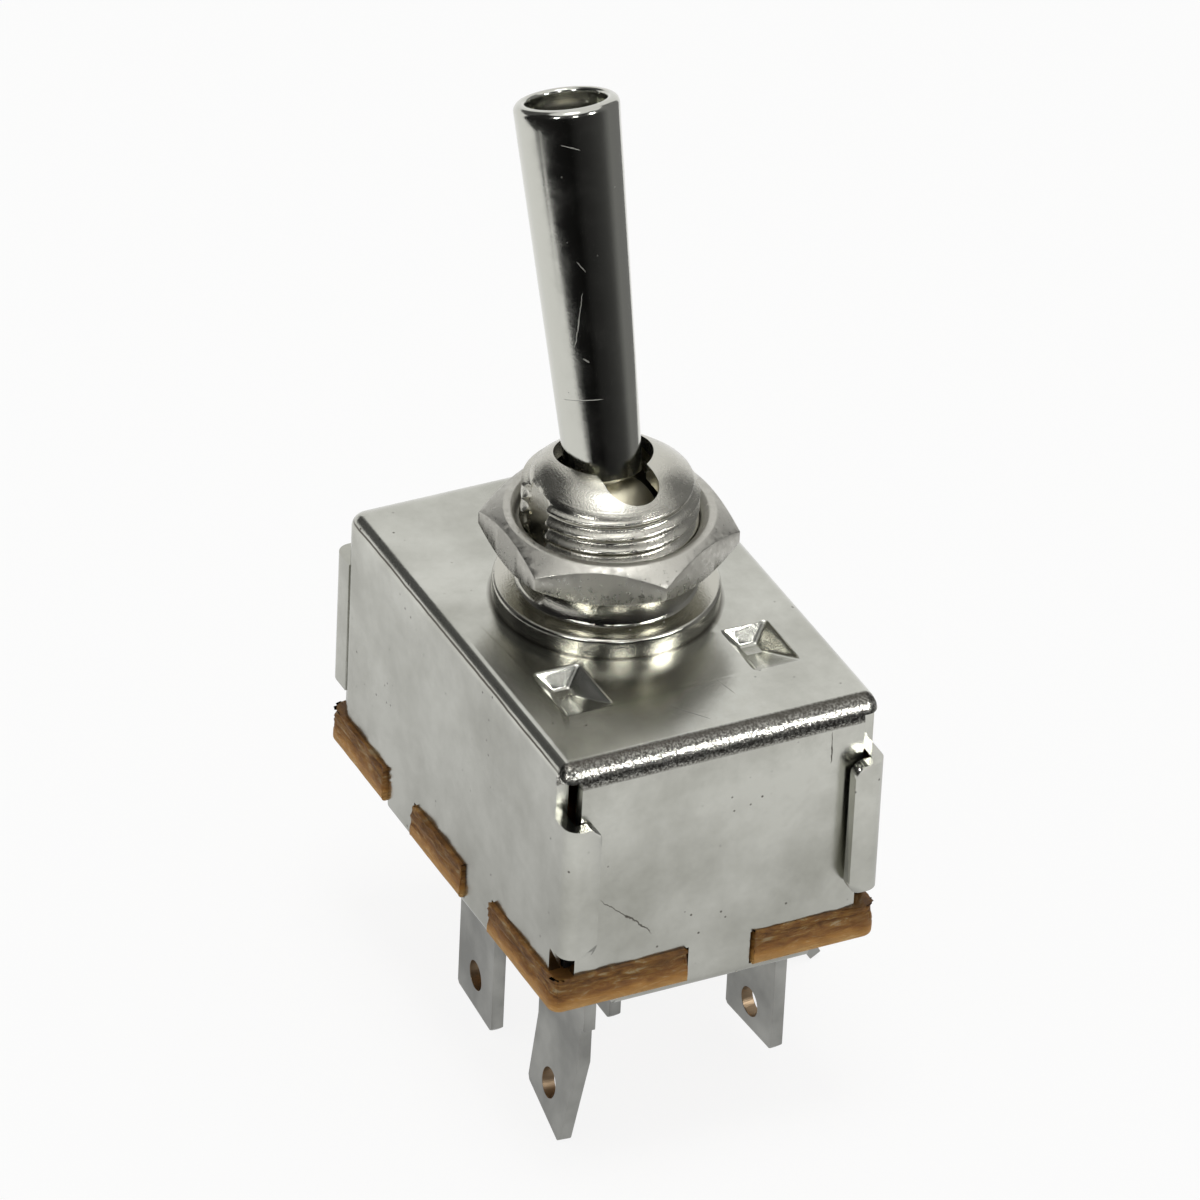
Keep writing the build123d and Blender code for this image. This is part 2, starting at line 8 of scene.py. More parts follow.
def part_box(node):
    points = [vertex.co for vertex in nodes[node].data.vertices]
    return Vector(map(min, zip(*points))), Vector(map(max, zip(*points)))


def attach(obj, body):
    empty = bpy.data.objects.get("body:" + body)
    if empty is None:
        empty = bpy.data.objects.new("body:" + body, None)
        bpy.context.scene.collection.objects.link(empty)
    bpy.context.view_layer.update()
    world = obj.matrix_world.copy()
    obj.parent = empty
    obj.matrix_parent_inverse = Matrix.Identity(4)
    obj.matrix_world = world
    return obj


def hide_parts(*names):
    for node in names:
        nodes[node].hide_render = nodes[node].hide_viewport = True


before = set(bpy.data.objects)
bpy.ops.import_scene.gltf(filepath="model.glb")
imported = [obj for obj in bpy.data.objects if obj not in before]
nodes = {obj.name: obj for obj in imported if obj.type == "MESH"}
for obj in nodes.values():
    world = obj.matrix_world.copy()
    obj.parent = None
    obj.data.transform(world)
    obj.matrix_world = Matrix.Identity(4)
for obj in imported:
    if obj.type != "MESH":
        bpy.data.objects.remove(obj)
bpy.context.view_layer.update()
mm = 0.001  # sizes below are in millimetres unless a comment says otherwise
print("frame loaded", len(nodes), "nodes")


# Helpers

def linear(hexColour):
    # sRGB hex to the linear values that the shader takes
    channels = [int(hexColour[i:i + 2], 16) / 255 for i in (1, 3, 5)]
    return tuple(c / 12.92 if c <= 0.04045 else ((c + 0.055) / 1.055) ** 2.4 for c in channels) + (1.0,)


def addNode(tree, kind, inputs=None, ramp=None, **settings):
    # one node, with its settings, its values or links, and the stops of its ramp
    item = tree.nodes.new("ShaderNode" + kind)
    for key, value in settings.items():
        setattr(item, key, value)
    for key, value in (inputs or {}).items():
        if isinstance(value, bpy.types.NodeSocket):
            tree.links.new(value, item.inputs[key])
        else:
            item.inputs[key].default_value = value
    if ramp:
        stops = item.color_ramp.elements
        while len(stops) < len(ramp):
            stops.new(0.5)
        for stop, (place, value) in zip(stops, ramp):
            stop.position = place
            stop.color = linear(value) if isinstance(value, str) else (value, value, value, 1)
    return item


def patternScale(size):
    # a texture's scale from the size of its pattern
    return 1.0 / (size * mm)


def emptyMaterial(name):
    material = bpy.data.materials.new(name)
    material.use_nodes = True
    material.node_tree.nodes.clear()
    return material, material.node_tree


def newMaterial(name, colour, metallic, roughness):
    material, tree = emptyMaterial(name)
    shader = addNode(tree, "BsdfPrincipled", {"Base Color": linear(colour), "Metallic": metallic,
                                              "Roughness": roughness})
    addNode(tree, "OutputMaterial", {"Surface": shader.outputs[0]})
    coords = addNode(tree, "TexCoord").outputs["Object"]
    return material, tree, shader, coords


def newObject(name, shape):
    # a bmesh becomes an object in the scene
    mesh = bpy.data.meshes.new(name)
    shape.to_mesh(mesh)
    shape.free()
    item = bpy.data.objects.new(name, mesh)
    bpy.context.scene.collection.objects.link(item)
    return item


def placeMesh(name, shape, materials, body):
    # a finished mesh becomes a piece that rides on a body
    piece = newObject(name, shape)
    for material in materials:
        piece.data.materials.append(material)
    piece.data.polygons.foreach_set("use_smooth", [True] * len(piece.data.polygons))
    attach(piece, body)
    return piece


def breakEdges(piece, width, angle=32):
    # the small rounding that every stamped or turned edge has
    piece.data.set_sharp_from_angle(angle=math.radians(angle))
    edge = piece.modifiers.new("brokenEdges", "BEVEL")
    edge.width = width * mm
    edge.segments = 2
    edge.limit_method = "ANGLE"
    edge.angle_limit = math.radians(angle)
    edge.use_clamp_overlap = False
    edge.harden_normals = True


def flattenShading(piece, angle=28):
    # flat sheet stays flat up to its folds, which shade smoothly
    piece.data.set_sharp_from_angle(angle=math.radians(angle))
    even = piece.modifiers.new("evenNormals", "WEIGHTED_NORMAL")
    even.mode = "FACE_AREA"
    even.weight = 100
    even.keep_sharp = True


def copyNode(name):
    # a merged copy of a CAD solid
    shape = bmesh.new()
    shape.from_mesh(nodes[name].data)
    bmesh.ops.remove_doubles(shape, verts=shape.verts, dist=0.001 * mm)
    return shape


def cutRow(shape, place, normal):
    # a plane's cut through every face, which adds a row of points for later shaping
    bmesh.ops.bisect_plane(shape, geom=shape.verts[:] + shape.edges[:] + shape.faces[:],
                           plane_co=place, plane_no=normal, dist=1e-7)


def lathe(points, steps):
    # turns a (radius, height) outline round the Z axis
    shape = bmesh.new()
    verts = [shape.verts.new((r * mm, 0, z * mm)) for r, z in points]
    edges = [shape.edges.new(pair) for pair in zip(verts, verts[1:])]
    bmesh.ops.spin(shape, geom=verts + edges, cent=(0, 0, 0), axis=(0, 0, 1), angle=math.tau, steps=steps,
                   use_merge=True)
    bmesh.ops.remove_doubles(shape, verts=shape.verts, dist=0.003 * mm)
    bmesh.ops.recalc_face_normals(shape, faces=shape.faces)
    return shape


def corner(centre, radius, start, stop, count=6):
    # points of a quarter round, from one angle to another in degrees
    angles = [math.radians(start + (stop - start) * i / count) for i in range(count + 1)]
    return [(centre[0] + radius * math.cos(a), centre[1] + radius * math.sin(a)) for a in angles]


# Camera and stage; angles in degrees, the lens and the sensor as on a camera

view = {"azimuth": 62.628, "elevation": 33.738, "roll": -2.798, "distance": 700.0, "lens": 313.4,
        "sensor": 36, "aimX": 1.158, "aimZ": -1.45, "slideRight": -0.891, "slideUp": 0.208}

azimuth, elevation = math.radians(view["azimuth"]), math.radians(view["elevation"])
backward = Vector((math.sin(azimuth) * math.cos(elevation), -math.cos(azimuth) * math.cos(elevation),
                   math.sin(elevation)))
rightward = Vector((math.cos(azimuth), math.sin(azimuth), 0))
upward = backward.cross(rightward)
cameraData = bpy.data.cameras.new("camera")
cameraData.sensor_width = view["sensor"]
cameraData.lens = view["lens"]
cameraData.clip_end = 10
camera = bpy.data.objects.new("camera", cameraData)
bpy.context.scene.collection.objects.link(camera)
aim = Vector((view["aimX"], 0, view["aimZ"])) + rightward * view["slideRight"] + upward * view["slideUp"]
turn = Matrix((rightward, upward, backward)).transposed()
turn = turn @ Matrix.Rotation(math.radians(-view["roll"]), 3, "Z")
camera.matrix_world = Matrix.Translation((aim + backward * view["distance"]) * mm) @ turn.to_4x4()
bpy.context.scene.camera = camera
bpy.context.scene.view_settings.view_transform = "Standard"

# angles are from the camera's own azimuth, positive to its right, and heights are elevations
# flags: left, right, low and high in degrees; cloths: left and right, and where they begin in metres
# ring: how far off the flags stand, and clothPast: how far the cloths run past them, in metres
# shades: how light flags and cloths are round the ring
# floor glow: near and far distance in metres, and how light the floor is there in reflections; its dimming
# near the object is a painted shadow
# lamps: direction, distance and size in metres, watts, and True where matt surfaces see it, not reflections
studio = {"floorZ": -34.75, "floorSize": 3.0, "ambient": 0.56, "floorSeen": 0.88,
          "floorGlowWithShadow": (0.022, 0.075, 0.62, 1.02), "ring": 0.9, "clothPast": 0.02, "clothLift": 0.5,
          "flagRows": 12, "cardSteps": 36,
          "flags": [("flagLeft", -150, -100, 12, 58), ("flagFront", -100, 60, -7, 58),
                    ("flagRight", 60, 90, -10, 56), ("flagFarRight", 90, 148, -14, 45)],
          "cloths": [("clothFarLeft", -100, -62, 0.175), ("clothLeft", -62, -25, 0.205),
                     ("clothFront", -25, 50, 0.12), ("clothRight", 50, 148, 0.1)],
          "shades": [(-150, 0.1), (-101, 0.1), (-99, 0.03), (-60, 0.02), (-30, 0.012), (5, 0.006),
                     (22, 0.022), (38, 0.03), (57, 0.046), (70, 0.062), (80, 0.09), (90, 0.17),
                     (100, 0.24), (148, 0.22)],
          "lamps": [("lampOver", 0, 86, 0.62, 0.24, 0.7, False),
                    ("lampOverMatt", 0, 86, 0.62, 0.24, 1.4, True),
                    ("lampRight", 64, 35, 0.6, 0.1, 1.4, False),
                    ("lampMiddle", 19, 35, 0.6, 0.07, 0.3, False),
                    ("lampLeft", -28, 35, 0.6, 0.08, 0.7, False)]}


def skyward(side, height):
    # a direction from the object, by angle from the camera and elevation
    a, e = azimuth + math.radians(side), math.radians(height)
    return Vector((math.sin(a) * math.cos(e), -math.cos(a) * math.cos(e), math.sin(e)))


def makeWorld():
    # white to the camera and in reflections, dimmer as a light on matt surfaces
    world = bpy.data.worlds.new("studio")
    bpy.context.scene.world = world
    world.use_nodes = True
    tree = world.node_tree
    tree.nodes.clear()
    path = addNode(tree, "LightPath")
    seen = addNode(tree, "Math", {0: path.outputs["Is Camera Ray"], 1: path.outputs["Is Glossy Ray"]},
                   operation="MAXIMUM")
    seen = addNode(tree, "Math", {0: seen.outputs[0], 1: path.outputs["Is Transmission Ray"]},
                   operation="MAXIMUM")
    strength = addNode(tree, "MapRange", {"Value": seen.outputs[0], "To Min": studio["ambient"],
                                          "To Max": 1.0})
    sky = addNode(tree, "Background", {"Color": linear("#ffffff"), "Strength": strength.outputs[0]})
    addNode(tree, "OutputWorld", {"Surface": sky.outputs[0]})


def makeFloor():
    # pale floor: white to the camera, and it keeps a shadow; in reflections it glows, dimmer near the object,
    # which is a painted shadow
    shape = bmesh.new()
    bmesh.ops.create_grid(shape, x_segments=1, y_segments=1, size=studio["floorSize"] / 2)
    bmesh.ops.translate(shape, verts=shape.verts, vec=(0, 0, studio["floorZ"] * mm))
    floor = newObject("floor", shape)
    material, tree = emptyMaterial("whitePaper")
    path = addNode(tree, "LightPath")
    seen = addNode(tree, "Math", {0: path.outputs["Is Camera Ray"], 1: studio["floorSeen"]},
                   operation="MULTIPLY")
    near, far, dim, full = studio["floorGlowWithShadow"]
    drop = -studio["floorZ"] * mm
    where = addNode(tree, "VectorMath", {0: addNode(tree, "TexCoord").outputs["Object"]}, operation="LENGTH")
    # painted shadow: the floor's glow in reflections falls off towards the object
    shadowedGlow = addNode(tree, "MapRange", {"Value": where.outputs["Value"], "From Min": math.hypot(near, drop),
                                      "From Max": math.hypot(far, drop), "To Min": dim, "To Max": full})
    level = addNode(tree, "Mix", {"Factor": path.outputs["Is Glossy Ray"], 2: 1.0, 3: shadowedGlow.outputs[0]})
    paper = addNode(tree, "BsdfDiffuse", {"Color": linear("#f4f4f2")})
    glow = addNode(tree, "Emission", {"Color": linear("#ffffff"), "Strength": level.outputs[0]})
    share = addNode(tree, "Math", {0: seen.outputs[0], 1: path.outputs["Is Glossy Ray"]}, operation="MAXIMUM")
    mixed = addNode(tree, "MixShader", {0: share.outputs[0], 1: paper.outputs[0], 2: glow.outputs[0]})
    addNode(tree, "OutputMaterial", {"Surface": mixed.outputs[0]})
    floor.data.materials.append(material)


def makeCards():
    # dark cards and cloths that only reflections see, as black flags stand round a bright part
    black, tree = emptyMaterial("flagCloth")
    facing = addNode(tree, "Mapping", {"Vector": addNode(tree, "TexCoord").outputs["Object"],
                                       "Rotation": (0, 0, -azimuth)})
    split = addNode(tree, "SeparateXYZ", {"Vector": facing.outputs[0]})
    toward = addNode(tree, "Math", {0: split.outputs["Y"], 1: -1.0}, operation="MULTIPLY")
    around = addNode(tree, "Math", {0: split.outputs["X"], 1: toward.outputs[0]}, operation="ARCTAN2")
    place = addNode(tree, "MapRange", {"Value": around.outputs[0], "From Min": -math.pi, "From Max": math.pi})
    tone = addNode(tree, "ValToRGB", {"Fac": place.outputs[0]},
                   ramp=[((angle + 180) / 360, shade) for angle, shade in studio["shades"]])
    glow = addNode(tree, "Emission", {"Color": tone.outputs[0], "Strength": 1.0})
    addNode(tree, "OutputMaterial", {"Surface": glow.outputs[0]})
    ring, rows = studio["ring"], studio["flagRows"]
    ground = Vector((0, 0, (studio["floorZ"] + studio["clothLift"]) * mm))
    lines = [(name, left, right, [skyward(left, low + (high - low) * i / rows) * ring
                                  for i in range(rows + 1)])
             for name, left, right, low, high in studio["flags"]]
    lines += [(name, left, right, [skyward(left, 0) * reach + ground
                                   for reach in (start, ring + studio["clothPast"])])
              for name, left, right, start in studio["cloths"]]
    for name, left, right, points in lines:
        shape = bmesh.new()
        verts = [shape.verts.new(point) for point in points]
        edges = [shape.edges.new(pair) for pair in zip(verts, verts[1:])]
        bmesh.ops.spin(shape, geom=verts + edges, cent=(0, 0, 0), axis=(0, 0, 1),
                       angle=math.radians(right - left), steps=studio["cardSteps"], use_duplicate=False)
        card = newObject(name, shape)
        card.data.materials.append(black)
        card.visible_camera = False
        card.visible_diffuse = False
        card.visible_shadow = False
        card.visible_transmission = False


def makeLamps():
    for name, side, height, distance, size, power, matt in studio["lamps"]:
        lampData = bpy.data.lights.new(name, "AREA")
        lampData.shape = "DISK"
        lampData.size = size
        lampData.energy = power
        lamp = bpy.data.objects.new(name, lampData)
        bpy.context.scene.collection.objects.link(lamp)
        lamp.visible_diffuse = matt
        lamp.visible_glossy = not matt
        away = skyward(side, height)
        facing = away.to_track_quat("Z", "Y").to_matrix().to_4x4()
        lamp.matrix_world = Matrix.Translation(away * distance) @ facing


makeWorld()
makeFloor()
makeCards()
makeLamps()
print("studio made")


# Materials

def lineMask(tree, coords, place, angles, length, width, wobble, reach=1.2):
    # one thin wandering line, such as a scratch: its own x along it, 1 on the line, 0 past reach off its face
    local = addNode(tree, "Mapping", {"Vector": coords, "Location": [v * mm for v in place],
                                      "Rotation": [math.radians(v) for v in angles]}, vector_type="TEXTURE")
    split = addNode(tree, "SeparateXYZ", {"Vector": local.outputs[0]})
    wander = addNode(tree, "TexNoise", {"Vector": local.outputs[0], "Scale": patternScale(length / 3),
                                        "Detail": 5.0, "Roughness": 0.6})
    shift = addNode(tree, "MapRange", {"Value": wander.outputs["Fac"], "To Min": -wobble * mm,
                                       "To Max": wobble * mm})
    across = addNode(tree, "Math", {0: split.outputs["Y"], 1: shift.outputs[0]}, operation="ADD")
    across = addNode(tree, "Math", {0: across.outputs[0]}, operation="ABSOLUTE")
    near = addNode(tree, "MapRange", {"Value": across.outputs[0], "From Min": width * 0.4 * mm,
                                      "From Max": width * mm, "To Min": 1.0, "To Max": 0.0})
    along = addNode(tree, "Math", {0: split.outputs["X"]}, operation="ABSOLUTE")
    ends = addNode(tree, "MapRange", {"Value": along.outputs[0], "From Min": length * 0.4 * mm,
                                      "From Max": length * 0.5 * mm, "To Min": 1.0, "To Max": 0.0})
    deep = addNode(tree, "Math", {0: split.outputs["Z"]}, operation="ABSOLUTE")
    skin = addNode(tree, "Math", {0: deep.outputs[0], 1: reach * mm}, operation="LESS_THAN")
    mask = addNode(tree, "Math", {0: near.outputs[0], 1: ends.outputs[0]}, operation="MULTIPLY")
    return addNode(tree, "Math", {0: mask.outputs[0], 1: skin.outputs[0]}, operation="MULTIPLY").outputs[0]


def addLineMarks(tree, coords, marks, lineMarks):
    for lineMark in lineMarks:
        line = lineMask(tree, coords, *lineMark)
        marks = addNode(tree, "Math", {0: marks, 1: line}, operation="MAXIMUM").outputs[0]
    return marks


def pitMask(tree, coords, spacing, patch, edge, share):
    # small pits that lie in patches, 1 in a pit: edge is a pit's rim, share how much of the face has them
    cells = addNode(tree, "TexVoronoi", {"Vector": coords, "Scale": patternScale(spacing), "Randomness": 1.0})
    spot = addNode(tree, "ValToRGB", {"Fac": cells.outputs["Distance"]},
                   ramp=[(edge[0], 1.0), (edge[1], 0.0)])
    few = addNode(tree, "TexNoise", {"Vector": coords, "Scale": patternScale(patch), "Detail": 3.0})
    some = addNode(tree, "ValToRGB", {"Fac": few.outputs["Fac"]}, ramp=[(share[0], 0.0), (share[1], 1.0)])
    return addNode(tree, "Math", {0: spot.outputs[0], 1: some.outputs[0]}, operation="MULTIPLY").outputs[0]


def fromAxis(tree, split):
    # the distance from the bushing's axis
    flat = addNode(tree, "CombineXYZ", {"X": split.outputs["X"], "Y": split.outputs["Y"]})
    return addNode(tree, "VectorMath", {0: flat.outputs[0]}, operation="LENGTH").outputs["Value"]


# can: its front end and top, and the fold between them, which is wider than the solid's tight one
# peel: where the rough skin of the end folds, with its painted glints and shade, sets in along X and up Z,
# and the fold's lower border, where painted shade lies
# ring of painted shade round the flange: its radii, and how far down it goes
can = {"end": 18.2, "top": -1.45, "tightFold": 1.0, "wideFold": 1.55, "foldRows": 4,
       "peelX": (16.75, 16.95), "peelZ": (-3.05, -2.85), "foldFoot": -3.1,
       "cornerShadeRing": (7.75, 8.05), "cornerShadeFoot": -1.7}

# scratches on the can, and one dark line along its -Y fold that is painted shade: place, angles that lay the
# line on its face, length, width and wander
canScratchesAndFoldShade = [((18.2, -6.7, -14.1), (90, 42, 90), 5.6, 0.05, 0.5),
                ((18.2, 8.0, -4.4), (90, 88, 90), 2.6, 0.04, 0.2),
                ((14.6, -1.0, -1.45), (0, 0, 38), 3.4, 0.03, 0.06),
                ((12.8, 2.6, -1.45), (0, 0, 12), 2.2, 0.03, 0.04),
                ((-5.8, 10.8, -1.45), (0, 0, 60), 3.0, 0.03, 0.1),
                # not a scratch: painted shade, a dark line along the crease of the -Y fold
                ((0.5, -11.6, -2.0), (90, 0, 0), 37.0, 0.09, 0.25)]


def makeSatinNickel():
    # nickel over pressed steel: soft sheen, small pits in patches, faint smudges and hairlines;
    # its grain and the peel on its folds are drawn coarser than the real ones, so that they show
    material, tree, shader, coords = newMaterial("satinNickelPlate", "#bebeb7", 1.0, 0.34)
    grain = addNode(tree, "TexNoise", {"Vector": coords, "Scale": patternScale(0.27778), "Detail": 4.0,
                                       "Roughness": 0.7})
    cloud = addNode(tree, "TexNoise", {"Vector": coords, "Scale": patternScale(9.0909), "Detail": 6.0,
                                       "Roughness": 0.62})
    shade = addNode(tree, "ValToRGB", {"Fac": cloud.outputs["Fac"]},
                    ramp=[(0.3, "#a9a9a0"), (0.6, "#c6c6be")])
    pits = pitMask(tree, coords, 1.05263, 5.2632, (0.04, 0.11), (0.5, 0.58))

    # painted shade: a darker ring in the corner where the can meets the flange
    split = addNode(tree, "SeparateXYZ", {"Vector": coords})
    inner, outer = can["cornerShadeRing"]
    cornerShade = addNode(tree, "MapRange", {"Value": fromAxis(tree, split), "From Min": inner * mm,
                                      "From Max": outer * mm, "To Min": 0.8, "To Max": 0.0})
    upper = addNode(tree, "Math", {0: split.outputs["Z"], 1: can["cornerShadeFoot"] * mm}, operation="GREATER_THAN")
    cornerShade = addNode(tree, "Math", {0: cornerShade.outputs[0], 1: upper.outputs[0]}, operation="MULTIPLY")
    marks = addNode(tree, "Math", {0: pits, 1: cornerShade.outputs[0]}, operation="MAXIMUM").outputs[0]
    marks = addLineMarks(tree, coords, marks, canScratchesAndFoldShade)

    # the stretched skin on the folds at both ends is rough as orange peel; its light and dark speckle in the
    # colour is painted glint and shade, and the darker borders along the folds are painted shade
    end = addNode(tree, "Math", {0: split.outputs["X"]}, operation="ABSOLUTE")
    end = addNode(tree, "MapRange", {"Value": end.outputs[0], "From Min": can["peelX"][0] * mm,
                                     "From Max": can["peelX"][1] * mm})
    high = addNode(tree, "MapRange", {"Value": split.outputs["Z"], "From Min": can["peelZ"][0] * mm,
                                      "From Max": can["peelZ"][1] * mm})
    fold = addNode(tree, "Math", {0: end.outputs[0], 1: high.outputs[0]}, operation="MULTIPLY")
    peel = addNode(tree, "TexNoise", {"Vector": coords, "Scale": patternScale(0.16129), "Detail": 2.0})
    peelGlintAndShade = addNode(tree, "ValToRGB", {"Fac": peel.outputs["Fac"]},
                    ramp=[(0.4, "#4f4c46"), (0.62, "#dddcd4")])
    most = addNode(tree, "Math", {0: fold.outputs[0], 1: 0.85}, operation="MULTIPLY")
    shade = addNode(tree, "Mix", {"Factor": most.outputs[0], 6: shade.outputs[0], 7: peelGlintAndShade.outputs[0]},
                    data_type="RGBA")
    # painted shade: the fold's upper and lower borders are darkened
    along = addNode(tree, "MapRange", {"Value": split.outputs["Z"], "From Min": can["foldFoot"] * mm,
                                       "From Max": can["top"] * mm, "To Min": -1.0, "To Max": 1.0})
    side = addNode(tree, "Math", {0: along.outputs[0]}, operation="ABSOLUTE")
    foldEdgeShade = addNode(tree, "MapRange", {"Value": side.outputs[0], "From Min": 0.3, "From Max": 0.9,
                                        "To Min": 0.0, "To Max": 0.9})
    foldEdgeShade = addNode(tree, "Math", {0: foldEdgeShade.outputs[0], 1: fold.outputs[0]}, operation="MULTIPLY")
    shade = addNode(tree, "Mix", {"Factor": foldEdgeShade.outputs[0], 6: shade.outputs[2], 7: linear("#4a4741")},
                    data_type="RGBA")
    # pits and scratches darken the colour, and so do the painted shade round the flange and the painted line
    # along the -Y fold
    colour = addNode(tree, "Mix", {"Factor": marks, 6: shade.outputs[2], 7: linear("#55514a")},
                     data_type="RGBA")
    tree.links.new(colour.outputs[2], shader.inputs["Base Color"])

    rough = addNode(tree, "MapRange", {"Value": cloud.outputs["Fac"], "From Min": 0.3, "From Max": 0.7,
                                       "To Min": 0.25, "To Max": 0.17})
    rough = addNode(tree, "Math", {0: fold.outputs[0], 1: 0.05, 2: rough.outputs[0]},
                    operation="MULTIPLY_ADD")
    tree.links.new(rough.outputs[0], shader.inputs["Roughness"])
    level = addNode(tree, "Math", {0: fold.outputs[0], 1: 2.2}, operation="MULTIPLY")
    level = addNode(tree, "Math", {0: level.outputs[0], 1: peel.outputs["Fac"]}, operation="MULTIPLY")
    height = addNode(tree, "Math", {0: grain.outputs["Fac"], 1: 0.6, 2: level.outputs[0]},
                     operation="MULTIPLY_ADD")
    height = addNode(tree, "Math", {0: height.outputs[0], 1: marks}, operation="SUBTRACT")
    fine = addNode(tree, "Bump", {"Height": height.outputs[0], "Strength": 0.35, "Distance": 0.03 * mm})
    sheet = addNode(tree, "TexNoise", {"Vector": coords, "Scale": patternScale(11.7647), "Detail": 1.0})
    bump = addNode(tree, "Bump", {"Height": sheet.outputs["Fac"], "Strength": 0.5, "Distance": 0.35 * mm,
                                  "Normal": fine.outputs[0]})
    tree.links.new(bump.outputs[0], shader.inputs["Normal"])
    return material


# plating: heights between which it gets more worn, and the step of the lathe's rings
plating = {"wornFoot": 2.2, "wornTop": 5.0, "ringStep": 0.14}

# scratches on the lever: the long curved one, short ticks and a hairline round it
leverScratches = [((-2.35, -1.78, 19.4), (-9, 75, -47), 4.1, 0.035, 0.22),
                  ((-3.1, -1.4, 23.0), (67, 45, 46), 1.0, 0.03, 0.1),
                  ((-5.4, -1.4, 30.9), (73, 12, 61), 1.4, 0.03, 0.15),
                  ((-1.45, -1.55, 16.7), (73, 25, 49), 0.5, 0.05, 0.05),
                  ((-1.05, -2.0, 13.9), (77, -13, 45), 3.0, 0.025, 0.1)]


def makeBrightPlate(name, colour, roughness, grainSize, depth, rings=0.0, lineMarks=(), wiping=2.4):
    # bright plating on turned parts: near mirror, with lathe rings, wipe marks and fine scratches
    material, tree, shader, coords = newMaterial(name, colour, 1.0, roughness)
    wipe = addNode(tree, "TexNoise", {"Vector": coords, "Scale": patternScale(wiping), "Detail": 6.0,
                                      "Roughness": 0.72})
    rough = addNode(tree, "MapRange", {"Value": wipe.outputs["Fac"], "From Min": 0.35, "From Max": 0.7,
                                       "To Min": roughness * 0.7, "To Max": roughness * 1.7})
    split = addNode(tree, "SeparateXYZ", {"Vector": coords})
    worn = addNode(tree, "MapRange", {"Value": split.outputs["Z"], "From Min": plating["wornFoot"] * mm,
                                      "From Max": plating["wornTop"] * mm, "To Min": 0.6, "To Max": 1.25})
    rough = addNode(tree, "Math", {0: rough.outputs[0], 1: worn.outputs[0]}, operation="MULTIPLY")
    grain = addNode(tree, "TexNoise", {"Vector": coords, "Scale": patternScale(grainSize), "Detail": 4.0,
                                       "Roughness": 0.65})
    marks = pitMask(tree, coords, 1.11111, 3.84615, (0.03, 0.09), (0.52, 0.6))
    marks = addLineMarks(tree, coords, marks, lineMarks)
    # a scratch is rough, so it catches light where the plate round it mirrors the dark
    opened = addNode(tree, "Math", {0: marks, 1: 0.45, 2: rough.outputs[0]}, operation="MULTIPLY_ADD")
    tree.links.new(opened.outputs[0], shader.inputs["Roughness"])
    height = addNode(tree, "Math", {0: grain.outputs["Fac"], 1: marks}, operation="SUBTRACT")
    if rings:
        turned = addNode(tree, "CombineXYZ", {"X": fromAxis(tree, split), "Z": split.outputs["Z"]})
        lathed = addNode(tree, "TexNoise", {"Vector": turned.outputs[0], "Detail": 3.0,
                                            "Scale": patternScale(plating["ringStep"])})
        raised = addNode(tree, "Math", {0: lathed.outputs["Fac"], 1: rings}, operation="MULTIPLY")
        height = addNode(tree, "Math", {0: height.outputs[0], 1: raised.outputs[0]}, operation="ADD")
    bump = addNode(tree, "Bump", {"Height": height.outputs[0], "Strength": 0.4, "Distance": depth * mm})
    tree.links.new(bump.outputs[0], shader.inputs["Normal"])
    return material


# laminate: the plate's foot and top, and the sizes of its streaks and blotches
laminate = {"foot": -20.55, "top": -17.95, "streak": 0.34, "streakStretch": 0.22, "blotch": 1.8}


def makePhenolic():
    # paper laminate, sheared when it was blanked: pale smooth band below, dark torn band above;
    # the piece's own "tear" attribute says how far each spot was torn back
    material, tree, shader, coords = newMaterial("phenolicLaminate", "#9a7040", 0.0, 0.5)
    flat = laminate["streakStretch"]
    stretch = addNode(tree, "Mapping", {"Vector": coords, "Scale": (flat, flat, 1.0)})
    plies = addNode(tree, "TexNoise", {"Vector": stretch.outputs[0], "Detail": 6.0, "Roughness": 0.68,
                                       "Scale": patternScale(laminate["streak"]), "Distortion": 0.4})
    tear = addNode(tree, "Attribute", attribute_name="tear")
    split = addNode(tree, "SeparateXYZ", {"Vector": coords})
    blotch = addNode(tree, "TexNoise", {"Vector": coords, "Scale": patternScale(laminate["blotch"]),
                                        "Detail": 3.0})
    level = addNode(tree, "MapRange", {"Value": split.outputs["Z"], "From Min": laminate["foot"] * mm,
                                       "From Max": laminate["top"] * mm, "To Min": 0.0, "To Max": 1.0})
    wander = addNode(tree, "Math", {0: blotch.outputs["Fac"], 1: 0.34, 2: level.outputs[0]},
                     operation="MULTIPLY_ADD")
    band = addNode(tree, "ValToRGB", {"Fac": wander.outputs[0]},
                   ramp=[(0.18, "#c69c62"), (0.46, "#b17f40"), (0.6, "#845829"), (0.92, "#5f3f18")])
    fibre = addNode(tree, "ValToRGB", {"Fac": plies.outputs["Fac"]},
                    ramp=[(0.36, "#543410"), (0.48, "#a87232"), (0.57, "#cc9a4e"), (0.64, "#f0dcae")])
    share = addNode(tree, "MapRange", {"Value": tear.outputs["Fac"], "To Min": 0.14, "To Max": 0.62})
    mixed = addNode(tree, "Mix", {"Factor": share.outputs[0], 6: band.outputs[0], 7: fibre.outputs[0]},
                    data_type="RGBA")
    # painted shade: the deeper a spot is torn back, the darker it is, as shade falls in the hollows
    hollowShade = addNode(tree, "MapRange", {"Value": tear.outputs["Fac"], "From Min": 0.45, "From Max": 1.0,
                                        "To Min": 0.0, "To Max": 0.6})
    dark = addNode(tree, "Mix", {"Factor": hollowShade.outputs[0], 6: mixed.outputs[2], 7: linear("#4a2c10")},
                   data_type="RGBA")
    tree.links.new(dark.outputs[2], shader.inputs["Base Color"])
    shader.inputs["Specular IOR Level"].default_value = 0.25
    bump = addNode(tree, "Bump", {"Height": plies.outputs["Fac"], "Strength": 0.8, "Distance": 0.22 * mm})
    tree.links.new(bump.outputs[0], shader.inputs["Normal"])
    return material


